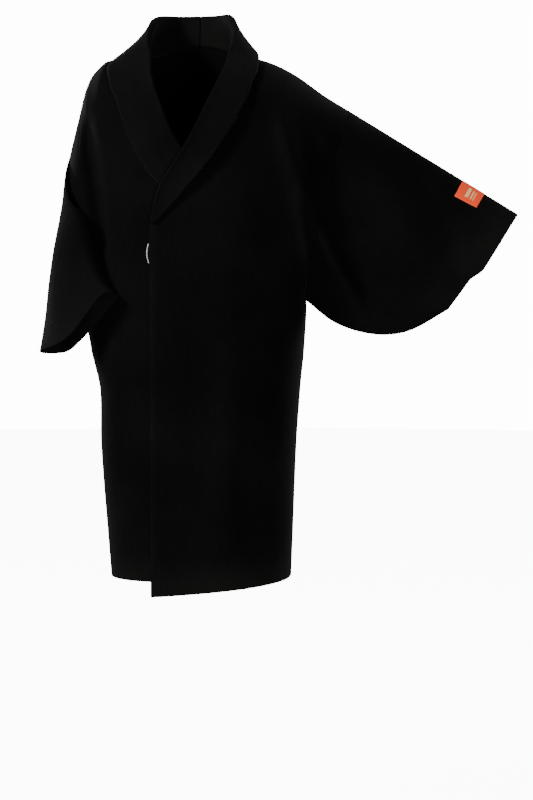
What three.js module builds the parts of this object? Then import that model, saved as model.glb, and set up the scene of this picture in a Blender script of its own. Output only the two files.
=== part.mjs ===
// A kimono coat in heavy black wool, hollow as it is worn: the wearer's left arm is held out to the
// side, the right arm hangs, and the left front laps over the right under a rolled shawl collar.
// Millimetres. +X is the wearer's left, -Y the front, +Z up. The origin is on the shoulder line in
// the middle of the neck, where the wearer carries the coat.
import * as THREE from "three";

// ---- driving sizes ----
const cloth = 2.2; // thickness of the wool
const gap = 0.4; // left open between two pieces that are sewn together
const seamAir = { front: 1.7, neck: 4.4 }; // the same under the leaf, where the seam is curved
const neckHalf = 80; // the neckline, from its middle to the shoulder seam
const neckBack = 84; // how far the neckline lies behind the shoulder seam
const neckRise = 26; // the nape over the shoulder seam
const frontEdge = { break: -328.5, leftTop: -54, leftHem: -60, rightTop: 74, rightHem: 80 };
const sleeveDrop = 345; // top fold of the sleeve to its bottom edge
const cuffTip = new THREE.Vector3(611, -30, -309); // top corner of the left cuff
const cuffBow = 9; // the cuff edge runs straight down to here, then steps in above the round corner
const labelSize = { from: 72, long: 46, deep: 31, thick: 0.9 }; // from: cuff to label
const loopSize = { top: -362, tall: 36, bow: 3.2, radius: 1.2 };

const black = new THREE.MeshStandardMaterial({ color: 0x0b0b0c, roughness: 0.95, metalness: 0 });
const orange = new THREE.MeshStandardMaterial({ color: 0xe8502a, roughness: 0.6, metalness: 0 });
const pale = new THREE.MeshStandardMaterial({ color: 0xd9d7d2, roughness: 0.8, metalness: 0 });

// ---- the body: half width, middle, front and back depth at each height ----
const bodyRows = [
  { at: -1030, half: 171, middle: 17, front: 112, back: 116 },
  { at: -925, half: 177, middle: 15, front: 115, back: 120 },
  { at: -740, half: 187, middle: 12, front: 119, back: 125 },
  { at: -640, half: 191, middle: 15, front: 121, back: 127 },
  { at: -556, half: 204, middle: 10, front: 123, back: 127 },
  { at: -466, half: 212, middle: 6, front: 125, back: 125 },
  { at: -300, half: 212, middle: 2, front: 127, back: 122 },
  { at: -190, half: 212, middle: 0, front: 122, back: 116 },
  { at: 30, half: 212, middle: 0, front: 112, back: 106 },
];

// The line of each shoulder as seen from the front: height over the distance from the neck.
const shoulderRows = {
  left: [
    { at: 0, height: -6 }, { at: 80, height: -6 }, { at: 140, height: -19 },
    { at: 189, height: -41 }, { at: 255, height: -87 }, { at: 302, height: -116 },
  ],
  right: [
    { at: 0, height: -6 }, { at: 80, height: -6 }, { at: 155, height: -13 },
    { at: 184, height: -36 }, { at: 199, height: -62 }, { at: 209, height: -98 },
    { at: 219, height: -134 }, { at: 229, height: -170 },
  ],
};

const sides = {
  left: { sign: 1, top: [302, -116], pit: [218, -466], round: 78, spread: 0.88 },
  right: { sign: -1, top: [-229, -170], pit: [-206, -466], round: 52, spread: 1.04 },
};
const neckRound = 185; // drop below the shoulder line at which the body has its full depth
const armholeHalf = { front: 62, back: 56 };

// Folds that show from a step away, as lines over the front: from, by and to in x and z, how far
// each stands out (or in, below 0) and how wide it is.
const folds = [
  { from: [176, -74], by: [222, -300], to: [322, -492], out: 9, wide: 21 },
  { from: [226, -112], by: [272, -290], to: [344, -474], out: -7, wide: 20 },
  { from: [212, -330], by: [228, -395], to: [246, -448], out: 4, wide: 14 },
  { from: [-182, -84], by: [-174, -220], to: [-160, -335], out: -13, wide: 16 },
  { from: [96, -330], by: [104, -600], to: [92, -860], out: 3, wide: 30 },
];

// ---- small helpers ----
const mix = (a, b, share) => a + (b - a) * share;
const clamp = (value) => Math.min(1, Math.max(0, value));
const smooth = (value) => clamp(value) ** 2 * (3 - 2 * clamp(value));
const point = (x, y, z) => new THREE.Vector3(x, y, z);

// A number from a table, followed smoothly between its rows without passing beyond them.
function follow(rows, column, at) {
  const last = rows.length - 1;
  const place = Math.min(Math.max(at, rows[0].at), rows[last].at);
  const k = Math.min(rows.findLastIndex((row) => row.at <= place), last - 1);
  const slope = (i) => (rows[i + 1][column] - rows[i][column]) / (rows[i + 1].at - rows[i].at);
  const bend = (i) => {
    if (i === 0) return slope(0);
    if (i === last) return slope(last - 1);
    const [before, after] = [slope(i - 1), slope(i)];
    return before * after <= 0 ? 0 : (2 * before * after) / (before + after);
  };
  const wide = rows[k + 1].at - rows[k].at;
  const t = (place - rows[k].at) / wide;
  return (
    rows[k][column] * (1 + 2 * t) * (1 - t) ** 2 + bend(k) * wide * t * (1 - t) ** 2 +
    rows[k + 1][column] * t * t * (3 - 2 * t) + bend(k + 1) * wide * t * t * (t - 1)
  );
}

// A point from a table whose column holds [x, y, z], on a curve through its rows.
function followPoint(rows, column, at) {
  const last = rows.length - 1;
  const k = Math.min(Math.max(rows.findLastIndex((row) => row.at <= at), 0), last - 1);
  const wide = rows[k + 1].at - rows[k].at;
  const t = clamp((at - rows[k].at) / wide);
  const value = (i) => point(...rows[i][column]);
  const bend = (i) => {
    const [a, b] = [Math.max(i - 1, 0), Math.min(i + 1, last)];
    return value(b).sub(value(a)).multiplyScalar(wide / (rows[b].at - rows[a].at));
  };
  return value(k).multiplyScalar((1 + 2 * t) * (1 - t) ** 2)
    .addScaledVector(bend(k), t * (1 - t) ** 2)
    .addScaledVector(value(k + 1), t * t * (3 - 2 * t))
    .addScaledVector(bend(k + 1), t * t * (t - 1));
}

// ---- the form of the body, as a depth over each point of the front view ----
const middleAt = (z) => follow(bodyRows, "middle", z);
const sideOf = (x, z) => (x >= middleAt(z) ? sides.left : sides.right);
const shoulderOf = (side) => (side.sign > 0 ? shoulderRows.left : shoulderRows.right);
const shoulderAt = (side, x) => follow(shoulderOf(side), "height", Math.abs(x));

// Where the panel ends at a height: on the armhole, or on the side seam below the armpit.
function outerX(side, z) {
  if (z < side.pit[1]) return middleAt(z) + side.sign * follow(bodyRows, "half", z);
  return mix(side.pit[0], side.top[0], (z - side.pit[1]) / (side.top[1] - side.pit[1]));
}

// Height and depth of the top edge: the shoulder line and, on the back, the neckline.
function topEdge(side, face, x) {
  const across = Math.abs(x) / neckHalf;
  if (face === "front" || across >= 1) return { z: shoulderAt(side, x), y: 0 };
  return { z: -6 + neckRise * (1 - across ** 2), y: neckBack * Math.sqrt(1 - across ** 2) };
}

// How full the body is at a share of the way from its middle to its outer edge.
function fullness(share, z, side) {
  const t = Math.min(share, 1);
  const below = (1 - t ** 2.4) ** (1 / 2.4);
  const above = 1 - t ** 2.6;
  return mix(below, above, smooth((z - side.pit[1]) / 140));
}

// Half the depth between the front and the back at the armhole seam.
function armhole(side, face, z, share) {
  const up = clamp((z - side.pit[1]) / 95);
  const inward = smooth((z - side.pit[1] + 70) / 190);
  return armholeHalf[face] * mix(inward, Math.sqrt(1 - (1 - up) ** 2), share ** 6);
}

function depthAt(face, x, z) {
  const side = sideOf(x, z);
  const share = Math.abs((x - middleAt(z)) / (outerX(side, z) - middleAt(z)));
  const seam = armhole(side, face, z, Math.min(share, 1));
  const full = mix(seam, follow(bodyRows, face, z), fullness(share, z, side));
  const edge = topEdge(side, face, x);
  const shoulder = smooth(Math.abs(x) / Math.abs(side.top[0]));
  const slope = (shoulderAt(side, Math.abs(x) + 2) - shoulderAt(side, Math.abs(x) - 2)) / 4;
  const lean = Math.max(0.35, 1 / Math.hypot(1, slope));
  const drop = clamp(((edge.z - z) * lean) / mix(neckRound, side.round, shoulder));
  const crown = face === "back" ? mix(1, 0.6, smooth((Math.abs(x) / neckHalf - 0.5) * 2)) : 0.6;
  return mix(edge.y, full, (1 - (1 - drop) ** 2) ** crown);
}

// How far the folds push the front out at a point of the front view.
function foldAt(x, z) {
  let out = 0;
  for (const fold of folds) {
    const line = new THREE.QuadraticBezierCurve(
      new THREE.Vector2(...fold.from), new THREE.Vector2(...fold.by), new THREE.Vector2(...fold.to),
    );
    const share = clamp((z - fold.from[1]) / (fold.to[1] - fold.from[1]));
    const near = line.getPoint(share);
    const away = Math.hypot(x - near.x, (z - near.y) * 0.6) / fold.wide;
    const ends = smooth(share * 4) * smooth((1 - share) * 4);
    out += fold.out * Math.exp(-away * away) * ends;
  }
  return out;
}

// The left front is raised over what it laps: the right front and, higher up, the right collar.
function lapLift(x, z) {
  const over = mix(5, 8.6, smooth((z + 430) / 90));
  const drop = shoulderAt(sideOf(x, z), x) - z;
  return over * (1 - smooth((x - 100) / 90)) * smooth(drop / 80);
}

const frontY = (left, x, z) => -depthAt("front", x, z) - (left ? lapLift(x, z) : 0);

// ---- closed cloth walls ----
function closedMesh(name, corners, faces, material) {
  const geometry = new THREE.BufferGeometry();
  const numbers = corners.flatMap((corner) => corner.toArray());
  geometry.setAttribute("position", new THREE.Float32BufferAttribute(numbers, 3));
  geometry.setIndex(faces);
  geometry.computeVertexNormals();
  const mesh = new THREE.Mesh(geometry, material);
  mesh.name = name;
  return mesh;
}

// Normals of a grid of points; flip turns them round, ring says that each row closes on itself.
function gridNormals(grid, flip, ring) {
  const [rows, columns] = [grid.length, grid[0].length];
  return grid.map((row, j) => row.map((_, i) => {
    const along = grid[Math.min(j + 1, rows - 1)][i].clone().sub(grid[Math.max(j - 1, 0)][i]);
    const next = ring ? (i + 1) % columns : Math.min(i + 1, columns - 1);
    const last = ring ? (i + columns - 1) % columns : Math.max(i - 1, 0);
    const steps = [row[next].clone().sub(row[i]), row[i].clone().sub(row[last])];
    if (ring) steps.forEach((step) => step.normalize());
    return steps[0].add(steps[1]).cross(along).normalize().multiplyScalar(flip);
  }));
}

// A wall of cloth under a grid of its outer points: outer skin, inner skin and the rims between.
function wall(name, grid, { flip = 1, ring = false, thick = cloth, square, material = black }) {
  const normals = gridNormals(grid, flip, ring);
  if (square) square(grid, normals);
  const [rows, columns] = [grid.length, grid[0].length];
  const under = (p, j, i) => p.clone().addScaledVector(normals[j][i], -thick);
  const inner = grid.map((row, j) => row.map((p, i) => under(p, j, i)));
  const faces = [];
  const inside = rows * columns;
  const quad = (a, b, c, d) => {
    const turn = flip > 0 ? [a, b, c, a, c, d] : [a, c, b, a, d, c];
    faces.push(...turn);
  };
  const spot = (j, i) => j * columns + (i % columns);
  const across = ring ? columns : columns - 1;
  for (let j = 0; j < rows - 1; j += 1) {
    for (let i = 0; i < across; i += 1) {
      const [a, b, c, d] = [spot(j, i), spot(j, i + 1), spot(j + 1, i + 1), spot(j + 1, i)];
      quad(a, b, c, d);
      quad(inside + a, inside + d, inside + c, inside + b);
    }
  }
  for (let i = 0; i < across; i += 1) {
    quad(inside + spot(0, i), inside + spot(0, i + 1), spot(0, i + 1), spot(0, i));
    const [a, b] = [spot(rows - 1, i), spot(rows - 1, i + 1)];
    quad(a, b, inside + b, inside + a);
  }
  for (let j = 0; j < rows - 1 && !ring; j += 1) {
    quad(spot(j, 0), spot(j + 1, 0), inside + spot(j + 1, 0), inside + spot(j, 0));
    const [a, b] = [spot(j, columns - 1), spot(j + 1, columns - 1)];
    quad(inside + a, inside + b, b, a);
  }
  return closedMesh(name, [...grid.flat(), ...inner.flat()], faces, material);
}

// ---- the collar ----
// Rows from the middle of the back round to the front end: roll is the folded top edge, free the
// outer edge of the leaf and seam the edge sewn to the neckline. The back is the same on both sides.
const collarBack = [
  { at: 0, roll: [0, 98, 84], free: [0, 116, 10] },
  { at: 1, roll: [42, 88, 83], free: [60, 104, 3] },
  { at: 2, roll: [67, 50, 76], free: [104, 64, 0] },
];
const collarFront = {
  left: [
    { at: 3, roll: [74, 14, 46], free: [130, 8, -2], seam: [80, 0, -6] },
    { at: 4, roll: [73, -16, 12], free: [135, -50, -38], seam: [84, -18, -12] },
    { at: 5, roll: [70, -42, -20], free: [131, -75, -84], seam: [85, -50, -32] },
    { at: 6, roll: [58, -70, -62], free: [118, -90, -122], seam: [74, -76, -72] },
    { at: 7, roll: [39, -92, -105], free: [98, -105, -162], seam: [55, -98, -116] },
    { at: 8, roll: [18, -110, -155], free: [66, -118, -207], seam: [33, -113, -167] },
    { at: 9, roll: [-9, -123, -207], free: [30, -126, -248], seam: [4, -124, -219] },
    { at: 10, roll: [-36, -130, -256], free: [-2, -131, -284], seam: [-26, -130, -265] },
    { at: 11, roll: [-53, -136, -322], free: [-42, -136, -325], seam: [-48.5, -136, -323] },
  ],
  right: [
    { at: 3, roll: [-74, 14, 46], free: [-145, 6, -2], seam: [-80, 0, -6] },
    { at: 4, roll: [-74, -16, 12], free: [-146, -50, -34], seam: [-85, -18, -12] },
    { at: 5, roll: [-70, -42, -22], free: [-136, -80, -72], seam: [-85, -50, -34] },
    { at: 6, roll: [-58, -70, -68], free: [-121, -92, -102], seam: [-74, -76, -78] },
    { at: 7, roll: [-39, -92, -110], free: [-101, -105, -156], seam: [-55, -98, -121] },
    { at: 8, roll: [-15, -110, -160], free: [-71, -118, -214], seam: [-30, -113, -172] },
    { at: 9, roll: [12, -120, -202], free: [-34, -126, -256], seam: [-2, -122, -214] },
    { at: 10, roll: [42, -127, -252], free: [8, -131, -292], seam: [31, -130, -262] },
    { at: 11, roll: [73, -130, -322], free: [62, -134, -326], seam: [68.5, -134, -323] },
  ],
};
const collarEnd = 11;
const rollRound = 3.5; // half the thickness of the roll, in the plane of the leaf
const underLeaf = 0.7; // air between the leaf and the cloth it lies on

function collarRows(name) {
  const { sign, spread } = sides[name];
  const back = collarBack.map(({ at, roll, free }) => {
    const seam = backSeam(at);
    const turned = ([x, y, z], spread) => [sign * spread * x, y, z];
    return { at, roll: turned(roll, spread), free: turned(free, spread), seam: turned(seam, 1) };
  });
  return [...back, ...collarFront[name]];
}

// The neckline behind the shoulder seams; at runs from 0 in the middle to 3 at the shoulder seam.
function backSeam(at) {
  const x = neckHalf * Math.sin((at / 3) * (Math.PI / 2));
  const edge = topEdge(sides.left, "back", Math.min(x, neckHalf - 0.001));
  return [x, edge.y, edge.z];
}

const collarTables = { left: collarRows("left"), right: collarRows("right") };

// A point of the collar's carrier, which lies on the front panel from the collar bone down.
function carrier(name, edge, share, at) {
  const rows = collarTables[name];
  const spot = followPoint(rows, "roll", at).lerp(collarEdge(name, edge, at), share);
  const onPanel = smooth((at - 2.9) / 1.1) * smooth((-6 - spot.z) / 26);
  const panel = frontY(name === "left", spot.x, Math.min(spot.z, -7));
  spot.y = mix(spot.y, panel, onPanel);
  return spot;
}

function collarEdge(name, edge, at) {
  if (edge === "seam" && at < 3) {
    const [x, y, z] = backSeam(at);
    return point(sides[name].sign * x, y, z);
  }
  return followPoint(collarTables[name], edge, at);
}

// Directions at the roll: down into the fold, and out from the stand to the leaf.
function collarFrame(name, at) {
  const step = 0.02;
  const roll = carrier(name, "free", 0, at);
  const ahead = carrier(name, "free", 0, Math.min(at + step, collarEnd));
  const behind = carrier(name, "free", 0, Math.max(at - step, 0));
  const along = ahead.sub(behind).normalize();
  const leaf = carrier(name, "free", 0.3, at).sub(roll).normalize();
  const stand = carrier(name, "seam", 1, at).sub(roll).normalize();
  const down = leaf.add(stand);
  down.addScaledVector(along, -down.dot(along)).normalize();
  const out = along.clone().cross(down).multiplyScalar(sides[name].sign);
  return { roll, down, out };
}

function collarSection(name, at, leafSteps, bendSteps, standSteps) {
  const { roll, down, out } = collarFrame(name, at);
  const covered = name === "right" ? 1 - smooth((at - 7.5) / 1.2) : 1 - smooth((at - 10) / 1);
  const puff = 4.2 * covered;
  const shoulderAir = 3 * smooth((at - 1.5) / 1) * (1 - smooth((at - 4.5) / 1));
  const over = cloth + underLeaf + shoulderAir + cloth;
  const points = [];
  const place = (spot, lift, drop) => {
    points.push(spot.clone().addScaledVector(out, lift).addScaledVector(down, rollRound * drop));
  };
  for (let i = leafSteps; i > 0; i -= 1) {
    const share = i / leafSteps;
    const lift = over * mix(1, 0.9, share) + puff * Math.exp(-share * 4.5);
    place(carrier(name, "free", share, at), lift, 1 - share);
  }
  const [high, low] = [over + puff, -cloth];
  for (let i = 0; i <= bendSteps; i += 1) {
    const turn = (Math.PI * i) / bendSteps;
    place(roll, mix(low, high, (1 + Math.cos(turn)) / 2), 1 - Math.sin(turn));
  }
  for (let i = 1; i <= standSteps; i += 1) {
    const share = i / standSteps;
    place(carrier(name, "seam", share, at), -cloth, 1 - share);
  }
  return points;
}

function collar(name) {
  const stations = 33;
  const grid = [];
  for (let j = 0; j <= stations; j += 1) {
    grid.push(collarSection(name, (collarEnd * j) / stations, 6, 5, 2));
  }
  const middle = (points, normals) => points[0].forEach((p, i) => {
    p.x = (sides[name].sign * gap) / 2;
    normals[0][i].setX(0).normalize();
  });
  return wall(`collar_${name}`, grid, { flip: sides[name].sign, square: middle });
}

// ---- fronts and backs ----
const crownSteps = [75, 60, 46, 33, 20, 9, 0]; // degrees up the rounding to the shoulder seam
const hems = {
  front_left: { side: -992, middle: -1019 },
  front_right: { side: -993, middle: -987 },
  back: { side: -992, middle: -992 },
};

// Heights of a panel's rows at its outer and inner edge, and how far each is up the shoulder.
function panelRows(side, hem, innerTop) {
  const lower = [];
  const steps = 6;
  for (let i = 0; i < steps; i += 1) {
    const share = i / steps;
    const outer = mix(hem.side, side.pit[1], share);
    lower.push({ outer, inner: mix(hem.middle, side.pit[1], share), up: 0 });
  }
  const shoulderOuter = side.top[1] - side.round;
  const shoulderInner = innerTop - neckRound;
  const chest = [side.pit[1], -434, -402, -366, frontEdge.break];
  chest.forEach((z) => lower.push({ outer: z, inner: z, up: 0 }));
  [0.02, 0.2, 0.45, 0.72, 1].forEach((share) => {
    const outer = mix(frontEdge.break, shoulderOuter, share);
    lower.push({ outer, inner: mix(frontEdge.break, shoulderInner, share), up: 0 });
  });
  crownSteps.forEach((degrees) => {
    const down = 1 - Math.cos((degrees * Math.PI) / 180);
    const outer = side.top[1] - side.round * down;
    lower.push({ outer, inner: innerTop - neckRound * down, up: 1 - degrees / 90 });
  });
  return lower;
}

// Steps across a panel, close together where it turns round the side.
function acrossStep(u, turn) {
  const round = (1 - Math.cos(u * turn)) / (1 - Math.cos(turn));
  return mix(u, round, 0.75);
}

// Squares the ends of the wall on the seams: y 0 at the side and shoulder, the ring's plane at the
// armhole.
function panelSeams(side, rows) {
  return (points, normals) => {
    rows.forEach((row, j) => {
      const normal = normals[j][0];
      if (row.outer > side.pit[1] + 1) normal.copy(armholeNormal(side, points[j][0]));
      else normal.setY(0).normalize();
    });
    normals[rows.length - 1].forEach((normal, i) => {
      if (Math.abs(points[rows.length - 1][i].x) > neckHalf - 1) normal.setY(0).normalize();
    });
  };
}

const seamLine = (side) => point(side.pit[0] - side.top[0], 0, side.pit[1] - side.top[1]).normalize();

// Outward normal of the armhole ring, in the ring's own plane, at a point of it.
function armholeNormal(side, spot) {
  const down = seamLine(side);
  const face = spot.y < 0 ? "front" : "back";
  const half = (z) => depthAt(face, outerX(side, z), z);
  const z = Math.min(Math.max(spot.z, side.pit[1] + 1), side.top[1] - 1);
  const slope = (half(z + 0.9) - half(z - 0.9)) / 1.8;
  const normal = point(0, face === "front" ? -1 : 1, 0).addScaledVector(down, slope);
  return normal.normalize();
}

const frontSeam = (name, z) => {
  const rows = collarTables[name];
  let [low, high] = [3, collarEnd];
  for (let i = 0; i < 30; i += 1) {
    const at = (low + high) / 2;
    if (followPoint(rows, "seam", at).z > z) low = at;
    else high = at;
  }
  return followPoint(rows, "seam", low).x;
};

function innerX(name, z) {
  const left = name === "left";
  if (z <= frontEdge.break) {
    const share = (z - frontEdge.break) / (hems.front_left.middle - frontEdge.break);
    if (left) return mix(frontEdge.leftTop, frontEdge.leftHem, share);
    return mix(frontEdge.rightTop, frontEdge.rightHem, share);
  }
  const air = mix(seamAir.front, seamAir.neck, smooth((z + 80) / 50));
  return frontSeam(name, z) + sides[name].sign * air;
}

function front(name) {
  const side = sides[name];
  const rows = panelRows(side, hems[`front_${name}`], -6 - gap);
  const columns = name === "left" ? 18 : 15;
  const grid = rows.map(({ outer, inner, up }) => {
    const [from, to] = [outerX(side, outer), innerX(name, inner)];
    const follows = Math.sqrt(clamp(up * 1.4));
    const [dropOuter, dropInner] = [shoulderAt(side, from) - outer, shoulderAt(side, to) - inner];
    return Array.from({ length: columns + 1 }, (_, i) => {
      const share = acrossStep(i / columns, name === "left" ? 1.9 : 1.75);
      const x = mix(from, to, share);
      const level = shoulderAt(side, x) - mix(dropOuter, dropInner, share);
      const z = mix(mix(outer, inner, share), level, follows);
      const drop = shoulderAt(side, x) - z;
      return point(x, frontY(name === "left", x, z) - gap / 2 - foldAt(x, z) * smooth(drop / 40), z);
    });
  });
  return wall(`front_${name}`, grid, { flip: -side.sign, square: panelSeams(side, rows) });
}

function back(name) {
  const side = sides[name];
  const rows = panelRows(side, hems.back, -6 + neckRise);
  const columns = 13;
  const grid = rows.map(({ outer, inner, up }) => {
    const from = outerX(side, outer);
    const to = (middleAt(inner) * smooth((-200 - inner) / 200)) + (side.sign * gap) / 2;
    const follows = Math.sqrt(clamp(up * 1.4));
    const dropOuter = topEdge(side, "back", from).z - outer;
    const dropInner = topEdge(side, "back", to).z - inner;
    return Array.from({ length: columns + 1 }, (_, i) => {
      const share = acrossStep(i / columns, 1.57);
      const x = mix(from, to, share);
      const level = topEdge(side, "back", x).z - mix(dropOuter, dropInner, share);
      const neck = up === 1 && Math.abs(x) < neckHalf ? seamAir.front : 0;
      const z = mix(mix(outer, inner, share), level, follows) - neck;
      return point(x, depthAt("back", x, z) + gap / 2, z);
    });
  });
  const seams = panelSeams(side, rows);
  const square = (points, normals) => {
    seams(points, normals);
    normals.forEach((row) => row[columns].setX(0).normalize());
  };
  return wall(`back_${name}`, grid, { flip: side.sign, square });
}

// ---- sleeves ----
// Each sleeve is a tube through rings, and the first ring is the armhole. A ring passes named
// points. ringTurns gives the turn of each, from 0 at the top fold over 3 at the bottom edge to 6.
const ringTurns = {
  left: { top: 0, frontHigh: 1, frontLow: 2, bottom: 3, backLow: 4, backHigh: 5 },
  right: {
    top: 0, frontHigh: 0.7, ridge: 1.2, fold: 1.4, inner: 2.1, bottom: 3, backLow: 4, backHigh: 5,
  },
};
const sleeveRows = {
  left: leftSleeveRows(),
  right: [
    {
      at: 0.12, top: [-237, -2, -216], frontHigh: [-234, -58, -226], ridge: [-218, -73, -272],
      fold: [-217, -69, -298], inner: [-217, -62, -394], bottom: [-213, -14, -464],
      backLow: [-223, 44, -402], backHigh: [-235, 54, -262],
    },
    {
      at: 0.3, top: [-246, -4, -285], frontHigh: [-243, -66, -290], ridge: [-189, -105, -299],
      fold: [-181, -95, -314], inner: [-219, -66, -392], bottom: [-222, -36, -446],
      backLow: [-230, 10, -440], backHigh: [-250, 52, -340],
    },
    {
      at: 0.6, top: [-264, -18, -402], frontHigh: [-250, -84, -390], ridge: [-163, -121, -366],
      fold: [-158, -108, -378], inner: [-196, -90, -418], bottom: [-216, -68, -453],
      backLow: [-232, -24, -462], backHigh: [-254, 24, -430],
    },
    {
      at: 0.8, top: [-275, -34, -482], frontHigh: [-243, -104, -464], ridge: [-144, -135, -418],
      fold: [-139, -122, -431], inner: [-164, -113, -448], bottom: [-185, -102, -462],
      backLow: [-216, -62, -480], backHigh: [-253, 3, -500],
    },
    {
      at: 1, top: [-286, -50, -563], frontHigh: [-212, -112, -532], ridge: [-124, -138, -443],
      fold: [-116, -126, -457], inner: [-132, -119, -478], bottom: [-157, -109, -505],
      backLow: [-198, -78, -542], backHigh: [-242, -30, -566],
    },
  ],
};

// The left sleeve hangs flat from the raised arm. Its rings fan round the rounded corner, so that
// the last one is the cuff opening. at is the share of the way down the arm; back and deep place
// the bottom edge from the cuff tip, along the top fold and square to it.
function leftSleeveRows() {
  const shape = [
    { at: 0.3, back: 178, deep: sleeveDrop + 2, high: 50, low: 33 },
    { at: 0.6, back: 104, deep: sleeveDrop - 20, high: 42, low: 26 },
    { at: 0.8, back: 54, deep: sleeveDrop - 60, high: 37, low: 21 },
    { at: 1, back: 14, deep: sleeveDrop - 132, high: 30, low: 16 },
  ];
  const start = point(sides.left.top[0], 0, sides.left.top[1]);
  const along = cuffTip.clone().setY(0).sub(start).normalize();
  const down = point(along.z, 0, -along.x);
  return shape.map(({ at, back: behind, deep, high, low }) => {
    const middleY = cuffTip.y * at;
    const top = start.clone().lerp(cuffTip.clone().setY(0), at);
    const bottom = cuffTip.clone().setY(0).addScaledVector(along, -behind).addScaledVector(down, deep);
    const place = (share, y) => {
      const spot = top.clone().lerp(bottom, share);
      return [spot.x, middleY + y, spot.z];
    };
    return {
      at, top: place(0, 0), frontHigh: place(0.26, -high), frontLow: place(0.76, -low),
      bottom: place(1, 0), backLow: place(0.76, low), backHigh: place(0.26, high),
    };
  });
}

// A point of a ring, followed round past its ends.
function ringPoint(name, row, turn) {
  const spots = Object.entries(ringTurns[name]).map(([key, at]) => ({ at, spot: row[key] }));
  const shifted = ({ at, spot }, by) => ({ at: at + by, spot });
  const closed = [
    shifted(spots[spots.length - 1], -6), ...spots, shifted(spots[0], 6), shifted(spots[1], 6),
  ];
  return followPoint(closed, "spot", turn % 6);
}

function armholePoint(side, turn) {
  const face = turn <= 3 ? "front" : "back";
  const share = (1 - Math.cos((Math.PI * turn) / 3)) / 2;
  const z = mix(side.top[1], side.pit[1], share);
  const x = outerX(side, z);
  const depth = share < 1e-6 || share > 1 - 1e-6 ? 0 : depthAt(face, x, z);
  return point(x, face === "front" ? -depth : depth, z);
}

// A point of a sleeve at a share of its length and a turn round its ring.
function sleevePoint(name, at, turn) {
  const side = sides[name];
  const rows = [
    { at: 0, spot: armholePoint(side, turn) },
    ...sleeveRows[name].map((row) => ({ at: row.at, spot: ringPoint(name, row, turn) })),
  ];
  const spot = followPoint(rows.map((row) => ({ at: row.at, spot: row.spot.toArray() })), "spot", at);
  if (turn > 0 && turn < 3) {
    const share = (1 - Math.cos((Math.PI * turn) / 3)) / 2;
    const hole = armholePoint(side, turn);
    const seam = smooth((shoulderAt(side, hole.x) - hole.z) / 40);
    const onSleeve = name === "left" ? smooth(share * 7) * smooth((1 - share) * 8) : 0;
    const edges = mix(seam, onSleeve, smooth(at * 8));
    spot.y -= foldAt(spot.x, spot.z) * edges;
  }
  if (name === "left") {
    const down = (1 - Math.cos((Math.PI * turn) / 3)) / 2;
    const bow = cuffBow * (down / 0.52) * (1 - smooth((down - 0.52) / 0.16));
    spot.add(point(0.85, 0, -0.53).multiplyScalar(bow * smooth((at - 0.8) / 0.2)));
  }
  return spot;
}

function sleeve(name) {
  const side = sides[name];
  const [rings, around] = [16, 30];
  const grid = [];
  for (let j = 0; j <= rings; j += 1) {
    const at = j / rings;
    const ring = [];
    for (let i = 0; i < around; i += 1) ring.push(sleevePoint(name, at, (6 * i) / around));
    grid.push(ring);
  }
  const outward = point(-seamLine(side).z, 0, seamLine(side).x).multiplyScalar(side.sign);
  grid[0].forEach((spot) => spot.addScaledVector(outward, gap));
  const square = (points, normals) => points[0].forEach((spot, i) => {
    const turn = (6 * i) / around;
    if (turn === 0) normals[0][i].copy(seamLine(side)).negate();
    else if (turn === 3) normals[0][i].copy(seamLine(side));
    else normals[0][i].copy(armholeNormal(side, spot));
  });
  return wall(`sleeve_${name}`, grid, { flip: side.sign, ring: true, square });
}

// ---- label and loop ----
function sleeveLabel() {
  const start = point(sides.left.top[0], 0, sides.left.top[1]);
  const length = cuffTip.clone().setY(0).distanceTo(start);
  const [first, last] = [1 - (labelSize.from + labelSize.long) / length, 1 - labelSize.from / length];
  const grid = [];
  for (let j = 0; j <= 6; j += 1) {
    const row = [];
    for (let i = 0; i <= 4; i += 1) {
      const turn = mix(0.1, 0.1 + (labelSize.deep / 86), i / 4);
      row.push(sleevePoint("left", mix(first, last, j / 6), turn));
    }
    grid.push(row);
  }
  const normals = gridNormals(grid, 1, false);
  grid.forEach((row, j) => row.forEach((spot, i) => {
    spot.addScaledVector(normals[j][i], gap + labelSize.thick);
  }));
  return wall("sleeve_label", grid, { flip: 1, thick: labelSize.thick, material: orange });
}

function frontLoop() {
  const edge = (z) => innerX("left", Math.min(z, frontEdge.break));
  const spots = [0, 0.25, 0.5, 0.75, 1].map((share) => {
    const z = loopSize.top - loopSize.tall * share;
    const out = loopSize.radius + gap + loopSize.bow * Math.sin(Math.PI * share);
    return point(edge(z) - out, frontY(true, edge(z), z) + cloth / 2, z);
  });
  const section = new THREE.Shape().absarc(0, 0, loopSize.radius, 0, 2 * Math.PI);
  const geometry = new THREE.ExtrudeGeometry(section, {
    steps: 12, curveSegments: 4, extrudePath: new THREE.CatmullRomCurve3(spots),
  });
  const mesh = new THREE.Mesh(geometry, pale);
  mesh.name = "front_loop";
  return mesh;
}

const coat = new THREE.Group();
for (const name of ["left", "right"]) coat.add(back(name), front(name), collar(name), sleeve(name));
coat.add(sleeveLabel(), frontLoop());
export default coat;
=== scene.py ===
"""A kimono coat in heavy black wool, hollow as it is worn, with its finish, studio and camera.

Lengths are millimetres until a mesh is made. +X is the wearer's left, -Y the front and +Z up, and
the origin is on the shoulder line in the middle of the neck.
"""

import math

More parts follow.
